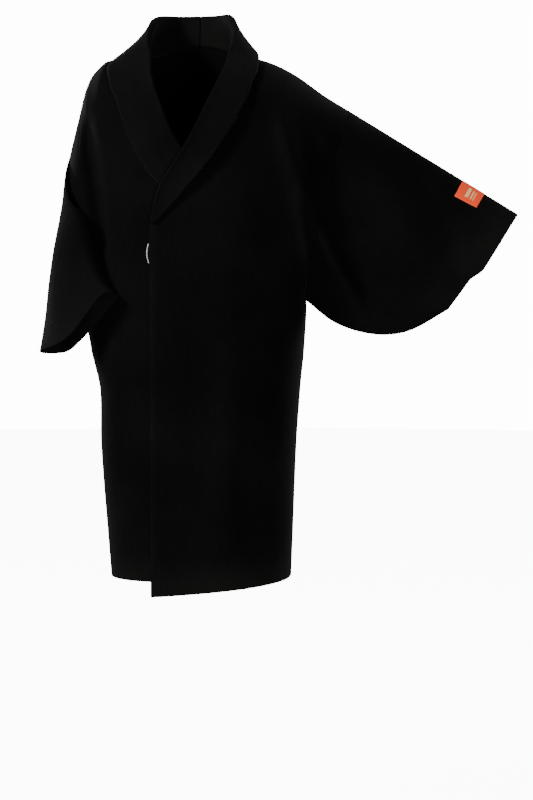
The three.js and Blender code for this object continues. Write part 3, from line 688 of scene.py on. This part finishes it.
# ---- sleeves ----
# Named points of a ring with their turn, from 0 at the top fold over 3 at the bottom edge to 6, and
# for each ring of the right sleeve the points in that order.
RING_TURNS = {
    "left": {"top": 0, "front_high": 1, "front_low": 2, "bottom": 3, "back_low": 4, "back_high": 5},
    "right": {
        "top": 0, "front_high": 0.7, "ridge": 1.2, "fold": 1.4, "inner": 2.1, "bottom": 3,
        "back_low": 4, "back_high": 5,
    },
}
RIGHT_RINGS = {
    0.12: [
        (-233, -2, -216), (-230, -58, -226), (-220, -74, -272), (-217, -69, -298),
        (-217, -62, -394), (-213, -14, -464), (-223, 44, -402), (-230, 54, -262),
    ],
    0.3: [
        (-239, -4, -285), (-236, -66, -290), (-201, -104, -299), (-181, -95, -314),
        (-219, -66, -392), (-222, -36, -446), (-230, 10, -440), (-243, 52, -340),
    ],
    0.6: [
        (-260, -18, -402), (-248, -84, -390), (-181, -121, -366), (-158, -108, -378),
        (-196, -90, -418), (-216, -68, -453), (-232, -24, -462), (-251, 24, -430),
    ],
    0.8: [
        (-275, -34, -482), (-243, -104, -464), (-164, -135, -420), (-139, -122, -431),
        (-164, -113, -448), (-185, -102, -462), (-216, -62, -480), (-253, 3, -500),
    ],
    1.0: [
        (-286, -50, -563), (-212, -112, -532), (-138, -139, -452), (-116, -126, -457),
        (-132, -119, -478), (-157, -109, -505), (-198, -78, -542), (-242, -30, -566),
    ],
}
# Left sleeve: how far the bottom edge lies back from the cuff tip, its depth under the top fold, and
# how far the cloth stands out high and low.
LEFT_RINGS = {
    0.3: (178, SLEEVE_DROP + 2, 50, 33),
    0.6: (104, SLEEVE_DROP - 20, 42, 26),
    0.8: (54, SLEEVE_DROP - 60, 37, 21),
    1.0: (14, SLEEVE_DROP - 132, 30, 16),
}
# Ends of the left sleeve's top fold in the front view.
SLEEVE_START = np.array([SIDES["left"]["top"][0], 0.0, SIDES["left"]["top"][1]])
SLEEVE_TIP = CUFF_TIP * np.array([1, 0, 1])
SLEEVE_LONG, SLEEVE_ROWS = 400.0, 120  # nominal, for the close rows at both ends
BOTTOM_TURN, FULL_TURN = 3, 6
TURN_STEPS = 36  # points of a ring for each unit of turn
CUFF_OUT = np.array([0.85, 0, -0.53])  # way in which the left cuff's edge bows outwards
BOW_DOWN, BOW_OVER = 0.52, 0.16  # share down the cuff where the bow is fullest, and where it ends


def left_ring(at, behind, deep, high, low):
    """Six points of a flat, hanging ring, in the order of RING_TURNS."""
    along = unit(SLEEVE_TIP - SLEEVE_START)
    down = np.array([along[2], 0.0, -along[0]])
    top, bottom = mix(SLEEVE_START, SLEEVE_TIP, at), SLEEVE_TIP - along * behind + down * deep
    middle = CUFF_TIP[1] * at
    shares = np.array([0, 0.26, 0.76, 1, 0.76, 0.26])[:, None]
    out = np.array([0, -high, -low, 0, low, high])
    points = mix(top, bottom, shares)
    points[:, 1] = middle + out
    return points


def ring_curve(name, spots, turn):
    """A closed curve through a ring's points, followed round past its first and last point."""
    turns = np.array(list(RING_TURNS[name].values()), float)
    stations = np.concatenate([turns[-1:] - FULL_TURN, turns, turns[:2] + FULL_TURN])
    return through(stations, np.concatenate([spots[-1:], spots, spots[:2]]), turn)


def armhole_ring(side, turn):
    """The armhole's edge: down its seam by a cosine of the turn, and as deep as the body there."""
    share = (1 - np.cos(math.pi * turn / BOTTOM_TURN)) / 2
    z = mix(side["top"][1], side["pit"][1], share)
    x = outer_x(side, z)
    ends = (share < 1e-6) | (share > 1 - 1e-6)
    front, back = (depth_on(side, face, x, z) for face in ("front", "back"))
    y = np.where(ends, 0, np.where(turn <= BOTTOM_TURN, -front, back))
    return np.stack([x, y, z], axis=-1)


def sleeve_surface(name, at, turn):
    """Outer points of a sleeve: a cubic through its rings, from the armhole (0) to the cuff (1); turn
    runs round each ring. The folds of the front go on over it, and the left cuff's edge bows out."""
    side = SIDES[name]
    if name == "left":
        rings = {place: left_ring(place, *sizes) for place, sizes in LEFT_RINGS.items()}
    else:
        rings = {place: np.array(spots, float) for place, spots in RIGHT_RINGS.items()}
    hole = armhole_ring(side, turn)
    table = np.stack([hole] + [ring_curve(name, spots, turn) for spots in rings.values()])
    grid = through(np.array([0.0, *rings]), table, at)
    down = ((1 - np.cos(math.pi * turn / BOTTOM_TURN)) / 2)[None, :]
    seam = smooth((shoulder(side, hole[:, 0]) - hole[:, 2]) / FOLD_TOP)[None, :]
    on_sleeve = smooth(down * 7) * smooth((1 - down) * 8) if name == "left" else 0
    edges = mix(seam, on_sleeve, smooth(at * 8)[:, None])
    on_front = ((turn > 0) & (turn < BOTTOM_TURN))[None, :]
    grid[..., 1] -= np.where(on_front, fold(grid[..., 0], grid[..., 2]) * edges, 0)
    if name == "left":
        bow = CUFF_BOW * (down / BOW_DOWN) * (1 - rise(down, BOW_DOWN, BOW_OVER))
        grid += CUFF_OUT * (bow * rise(at, 0.8, 0.2)[:, None])[..., None]
    return grid


def sleeve(name, material):
    """The wall over a sleeve's surface, closed round, with a highlight painted into its colour towards the
    cuff, strongest at the bottom edge.
    """
    side = SIDES[name]
    at = spans(SLEEVE_LONG, SLEEVE_ROWS)
    turn = np.arange(FULL_TURN * TURN_STEPS) / TURN_STEPS
    grid = sleeve_surface(name, at, turn)
    sign = side["sign"]
    normals = grid_normals(grid, sign, True)
    normals[0], down = armhole_normal(side, grid[0]), armhole_down(side)
    normals[0, 0] = -down
    normals[0, BOTTOM_TURN * TURN_STEPS] = down
    # painted highlight, growing towards the cuff and strongest at the bottom edge
    near_bottom = 1 - np.abs(turn[None, :] - BOTTOM_TURN) / BOTTOM_TURN
    painted_light = rise(at, 0.62, 0.38)[:, None] * mix(0.5, 1.0, near_bottom)
    return wall(
        f"sleeve_{name}", grid, material, sign, ring=True, along=rounding(SLEEVE_LONG, at),
        normals=normals, painted_light=painted_light,
    )


# ---- label and loop ----
# from and long are measured along the top fold from the cuff, turn is the label's upper edge.
LABEL = {"from": 72.0, "long": 47.0, "deep": 43.0, "thick": 0.9, "turn": 0.08, "air": 0.4}
TURN_DEEP = 86.0  # cloth down the sleeve for one unit of turn, near the cuff
BAR_RAISED, BAR_THICK, BAR_STEPS = 0.25, 0.3, 12
# Plain woven bars, as shares of the label's length and depth.
LABEL_BARS = [(0.36, 0.5, 0.3, 0.82), (0.58, 0.64, 0.36, 0.82), (0.7, 0.74, 0.36, 0.82)]


def label_surface(share_along, share_down, lift):
    """Points over the left sleeve's front near the cuff, raised by lift along its normals."""
    length = np.linalg.norm(SLEEVE_TIP - SLEEVE_START)
    first = 1 - (LABEL["from"] + LABEL["long"]) / length
    at = mix(first, 1 - LABEL["from"] / length, share_along)
    turn = LABEL["turn"] + LABEL["deep"] / TURN_DEEP * share_down
    grid = sleeve_surface("left", at, turn)
    return grid + grid_normals(grid, 1, False) * lift


def sleeve_label(material, thread):
    """The label as a thin wall over the sleeve, and its bars as thinner walls that stand on it."""
    along, down = spans(LABEL["long"], 24), spans(LABEL["deep"], 16)
    top = LABEL["air"] + LABEL["thick"]
    grid = label_surface(along, down, top)
    label = wall(
        "sleeve_label", grid, material, 1, thick=LABEL["thick"],
        across=rounding(LABEL["deep"], down), along=rounding(LABEL["long"], along),
    )
    bars = []
    for number, (x0, x1, y0, y1) in enumerate(LABEL_BARS):
        x, y = np.linspace(x0, x1, BAR_STEPS), np.linspace(y0, y1, BAR_STEPS)
        spots = label_surface(x, y, top + BAR_RAISED)
        bars.append(wall(f"label_bar_{number + 1}", spots, thread, 1, thick=BAR_THICK))
    return label, bars


def front_loop(material):
    """A round thread along the left front edge, bowed out by half a sine, with rounded ends."""
    top, tall, bow, radius, air = -362.0, 36.0, 3.2, 0.95, 0.4
    steps, sides, least = 40, 16, 0.05
    share = np.linspace(0, 1, steps)
    z = top - tall * share
    edge = inner_x("left", np.minimum(z, FRONT_EDGE["break"]))
    out = radius + air + bow * np.sin(math.pi * share)
    path = np.stack([edge - out, front_y("left", edge, z) + CLOTH / 2, z], axis=-1)
    along = unit(np.gradient(path, axis=0))
    first = unit(np.cross(along, np.array([0.0, 1.0, 0.0])))
    second = np.cross(along, first)
    around = np.linspace(0, 2 * math.pi, sides, endpoint=False)
    radii = radius * rounding(tall, share)
    cosine, sine = np.cos(around)[None, :, None], np.sin(around)[None, :, None]
    ring = first[:, None] * cosine + second[:, None] * sine
    grid = path[:, None] + ring * np.maximum(radii, least)[:, None, None]
    index = np.arange(steps * sides).reshape(steps, sides)
    faces = cells(index, True).tolist() + [index[0, ::-1].tolist(), index[-1].tolist()]
    return put_on_root(new_piece("loop_cord", grid.reshape(-1, 3) * MM, faces, material))


# ---- finishes ----
# Noise scales are spots per metre, so 1000 over the size in millimetres. Each is the coarsest that
# still reads as the real surface, because the real fibres are finer than a pixel.
STREAKS = (330.0, 28.0, 1.0)  # streaks of nap along the warp, 3 mm wide and 36 mm long
FIBRES = 900.0  # tufts of nap, 1.1 mm
CLOUDS = 6.0  # brushed patches, 170 mm
RIBS = 160.0  # ribs of the label's weave, 2 mm apart
TWIST = 1500.0  # turns of a thread, 0.7 mm


def paint(hex_colour):
    """An sRGB hex colour as linear RGBA."""
    channels = [int(hex_colour[i:i + 2], 16) / 255 for i in (1, 3, 5)]
    linear = [c / 12.92 if c <= 0.04045 else ((c + 0.055) / 1.055) ** 2.4 for c in channels]
    return (*linear, 1.0)


def add(tree, kind, inputs=None, **settings):
    """Adds one node with its settings, and sets or links its inputs by name or number."""
    made = tree.nodes.new(kind)
    for key, value in settings.items():
        setattr(made, key, value)
    for key, value in (inputs or {}).items():
        if isinstance(value, bpy.types.NodeSocket):
            tree.links.new(value, made.inputs[key])
        else:
            made.inputs[key].default_value = value
    return made


def new_material(name):
    """An empty node material and its tree."""
    material = bpy.data.materials.new(name)
    material.use_nodes = True
    tree = material.node_tree
    tree.nodes.clear()
    return material, tree


def napped_wool():
    """Heavy wool, milled and brushed: a short nap hides the weave, so it is matt and nearly black, with a
    soft bloom at grazing angles and faint streaks along the warp. Where a highlight is painted in, the colour
    is lighter."""
    material, tree = new_material("napped_black_wool")
    cloth = add(tree, "ShaderNodeUVMap", uv_map="cloth")
    streak = add(tree, "ShaderNodeMapping", {"Vector": cloth.outputs[0], "Scale": STREAKS})
    grain = add(tree, "ShaderNodeTexNoise", {"Vector": streak.outputs[0], "Scale": 1.0, "Detail": 3.0})
    place = add(tree, "ShaderNodeTexCoord")
    spot = place.outputs["Object"]
    fibre = add(tree, "ShaderNodeTexNoise", {"Vector": spot, "Scale": FIBRES, "Detail": 2.0})
    cloud = add(tree, "ShaderNodeTexNoise", {"Vector": spot, "Scale": CLOUDS, "Detail": 3.0})
    # The patches count 2.2 times as much as the streaks, and only their lighter half shows.
    both = add(
        tree, "ShaderNodeMath", {0: cloud.outputs[0], 1: 2.2, 2: grain.outputs[0]}, operation="MULTIPLY_ADD"
    )
    tone = add(tree, "ShaderNodeMapRange", {"Value": both.outputs[0], "From Min": 1.25, "From Max": 2.0})
    colour = add(
        tree, "ShaderNodeMix", {"Factor": tone.outputs[0], 6: paint("#020302"), 7: paint("#080908")},
        data_type="RGBA",
    )
    # Where a highlight is painted in, the colour is mixed towards a light grey, by 0.4 everywhere and by 0.6
    # more in the light patches.
    painted_light_attr = add(tree, "ShaderNodeAttribute", attribute_name="painted_light")
    uneven = add(tree, "ShaderNodeMath", {0: tone.outputs[0], 1: 0.6, 2: 0.4}, operation="MULTIPLY_ADD")
    highlight_share = add(tree, "ShaderNodeMath", {0: painted_light_attr.outputs["Fac"], 1: uneven.outputs[0]}, operation="MULTIPLY")
    lit = add(
        tree, "ShaderNodeMix", {"Factor": highlight_share.outputs[0], 6: colour.outputs[2], 7: paint("#121311")},
        data_type="RGBA",
    )
    height = add(tree, "ShaderNodeMath", {0: fibre.outputs[0], 1: grain.outputs[0]}, operation="ADD")
    bump = add(tree, "ShaderNodeBump", {"Height": height.outputs[0], "Strength": 0.35, "Distance": 0.0006})
    shader = add(tree, "ShaderNodeBsdfPrincipled", {
        "Base Color": lit.outputs[2], "Roughness": 0.92, "IOR": 1.45, "Specular IOR Level": 0.08,
        "Sheen Weight": 0.045, "Sheen Roughness": 0.35, "Sheen Tint": paint("#888f87"),
        "Normal": bump.outputs[0],
    })
    add(tree, "ShaderNodeOutputMaterial", {"Surface": shader.outputs[0]})
    return material


def woven_label():
    """Polyester damask label: dense satin weave in orange red, with a slight gloss along the thread."""
    material, tree = new_material("woven_orange_label")
    cloth = add(tree, "ShaderNodeUVMap", uv_map="cloth")
    weave = add(tree, "ShaderNodeTexWave", {"Vector": cloth.outputs[0], "Scale": RIBS, "Distortion": 0.4})
    colour = add(
        tree, "ShaderNodeMix", {"Factor": weave.outputs["Fac"], 6: paint("#ff3c14"), 7: paint("#ff5c2c")},
        data_type="RGBA",
    )
    bump = add(tree, "ShaderNodeBump", {"Height": weave.outputs["Fac"], "Strength": 0.3, "Distance": 0.0002})
    shader = add(tree, "ShaderNodeBsdfPrincipled", {
        "Base Color": colour.outputs[2], "Roughness": 0.5, "Normal": bump.outputs[0],
    })
    add(tree, "ShaderNodeOutputMaterial", {"Surface": shader.outputs[0]})
    return material


def thread_finish(name, light, dark, rough):
    """Spun thread: fine ribs across it from its twist."""
    material, tree = new_material(name)
    place = add(tree, "ShaderNodeTexCoord")
    twist = add(tree, "ShaderNodeTexNoise", {"Vector": place.outputs["Object"], "Scale": TWIST})
    colour = add(
        tree, "ShaderNodeMix", {"Factor": twist.outputs[0], 6: paint(dark), 7: paint(light)}, data_type="RGBA"
    )
    bump = add(tree, "ShaderNodeBump", {"Height": twist.outputs[0], "Strength": 0.4, "Distance": 0.0003})
    shader = add(tree, "ShaderNodeBsdfPrincipled", {
        "Base Color": colour.outputs[2], "Roughness": rough, "Normal": bump.outputs[0],
    })
    add(tree, "ShaderNodeOutputMaterial", {"Surface": shader.outputs[0]})
    return material


# ---- studio ----
# Lengths are metres and angles degrees here. The camera is given by what it looks at and from where.
TARGET = Vector((0.143, 0.0, -0.655))
AZIMUTH, ELEVATION, DISTANCE = 8.0, 4.0, 2.956
LENS, SENSOR = 70.0, 36.0
# Name, place, size and power of each soft lamp, and the middle of the coat at which all are aimed.
LAMPS = [
    ("key", (-3.0, -2.1, 2.0), 0.9, 225.0),
    ("low", (0.9, -2.6, -1.2), 1.4, 54.0),
    ("back_left", (2.6, 1.6, 0.6), 1.8, 88.0),
    ("back_right", (-2.8, 1.6, 0.6), 1.8, 72.0),
]
LAMP_AIM = Vector((0.1, 0.0, -0.5))
FLOOR, ROOM_RADIUS = -1.5, 9.0
ROOM_LIGHT = 0.115  # light that the white room gives from all sides
ROOM_GLOW, FLOOR_GLOW = 14.0, 12.0  # glow that only the camera sees
ROOM_SIDES, ROOM_RINGS = 96, 23


def look_at(piece, target):
    """Turns a camera or lamp, which looks along its own -Z, to a point."""
    piece.rotation_mode = "QUATERNION"
    piece.rotation_quaternion = (piece.location - target).to_track_quat("Z", "Y")


def studio():
    """Camera, lamps, a weak white surround, and the floor and room."""
    scene = bpy.context.scene
    data = bpy.data.cameras.new("camera")
    data.lens, data.sensor_width = LENS, SENSOR
    camera = bpy.data.objects.new("camera", data)
    scene.collection.objects.link(camera)
    turn, height = math.radians(AZIMUTH), math.radians(ELEVATION)
    level = math.cos(height)
    way = Vector((math.sin(turn) * level, -math.cos(turn) * level, math.sin(height)))
    camera.location = TARGET + DISTANCE * way
    look_at(camera, TARGET)
    scene.camera = camera

    for name, place, size, power in LAMPS:
        lamp = bpy.data.lights.new(name, "AREA")
        lamp.size, lamp.energy = size, power
        piece = bpy.data.objects.new(name, lamp)
        scene.collection.objects.link(piece)
        piece.location = place
        look_at(piece, LAMP_AIM)

    world = bpy.data.worlds.new("white_room")
    world.use_nodes = True
    world.node_tree.nodes["Background"].inputs["Color"].default_value = paint("#ffffff")
    world.node_tree.nodes["Background"].inputs["Strength"].default_value = ROOM_LIGHT
    scene.world = world
    backdrop()


def backdrop():
    """A round floor and half a ball over it. Both are seen, but they throw no light on the coat."""
    around = np.linspace(0, 2 * math.pi, ROOM_SIDES, endpoint=False)
    ring = np.stack([np.cos(around), np.sin(around), np.zeros(ROOM_SIDES)], axis=-1)
    floor = ring * ROOM_RADIUS + np.array([0, 0, FLOOR])
    tilt = np.linspace(0, math.pi / 2, ROOM_RINGS + 1)[:-1, None, None]
    up = np.array([0, 0, 1]) * (FLOOR + ROOM_RADIUS * np.sin(tilt))
    shell = ring * np.cos(tilt) * ROOM_RADIUS + up
    dome = np.concatenate([shell.reshape(-1, 3), [[0, 0, FLOOR + ROOM_RADIUS]]])
    index = np.arange(ROOM_SIDES * ROOM_RINGS).reshape(ROOM_RINGS, ROOM_SIDES)
    last = index[-1].tolist()
    top = [[here, index.size, after] for here, after in zip(last, last[1:] + last[:1])]
    inwards = cells(index, True)[:, [0, 3, 2, 1]].tolist()
    stage_piece("floor", floor, [list(range(ROOM_SIDES))], "pale_floor", "#f4f3f1", FLOOR_GLOW)
    stage_piece("room", dome, inwards + top, "white_wall", "#ffffff", ROOM_GLOW)


def stage_piece(name, corners, faces, finish, colour, glow):
    """A part of the studio in one colour, seen by the camera alone."""
    material, tree = new_material(finish)
    shader = add(tree, "ShaderNodeBsdfPrincipled", {
        "Base Color": paint(colour), "Roughness": 0.9, "Emission Color": paint(colour),
        "Emission Strength": glow,
    })
    add(tree, "ShaderNodeOutputMaterial", {"Surface": shader.outputs[0]})
    piece = new_piece(name, corners, faces, material, rounded=False)
    piece.visible_diffuse = piece.visible_glossy = piece.visible_shadow = False


# ---- the coat ----
wool = napped_wool()
label_cloth = woven_label()
gold_thread = thread_finish("pale_gold_thread", "#f3dca0", "#e6bd6a", 0.45)
loop_thread = thread_finish("grey_white_cord", "#dddbd6", "#c3c0ba", 0.8)

studio()

pieces = {}
for side_name in ("left", "right"):
    pieces[f"back_{side_name}"] = panel(f"back_{side_name}", back_surface, wool)
    pieces[f"front_{side_name}"] = panel(f"front_{side_name}", front_surface, wool)
    pieces[f"collar_{side_name}"] = collar(side_name, wool)
    pieces[f"sleeve_{side_name}"] = sleeve(side_name, wool)
label, label_bars = sleeve_label(label_cloth, gold_thread)
pieces["sleeve_label"] = label
loop = front_loop(loop_thread)

for node_name, piece in pieces.items():
    piece.name = f"{node_name}_cloth"
    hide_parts(node_name)
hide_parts("front_loop")
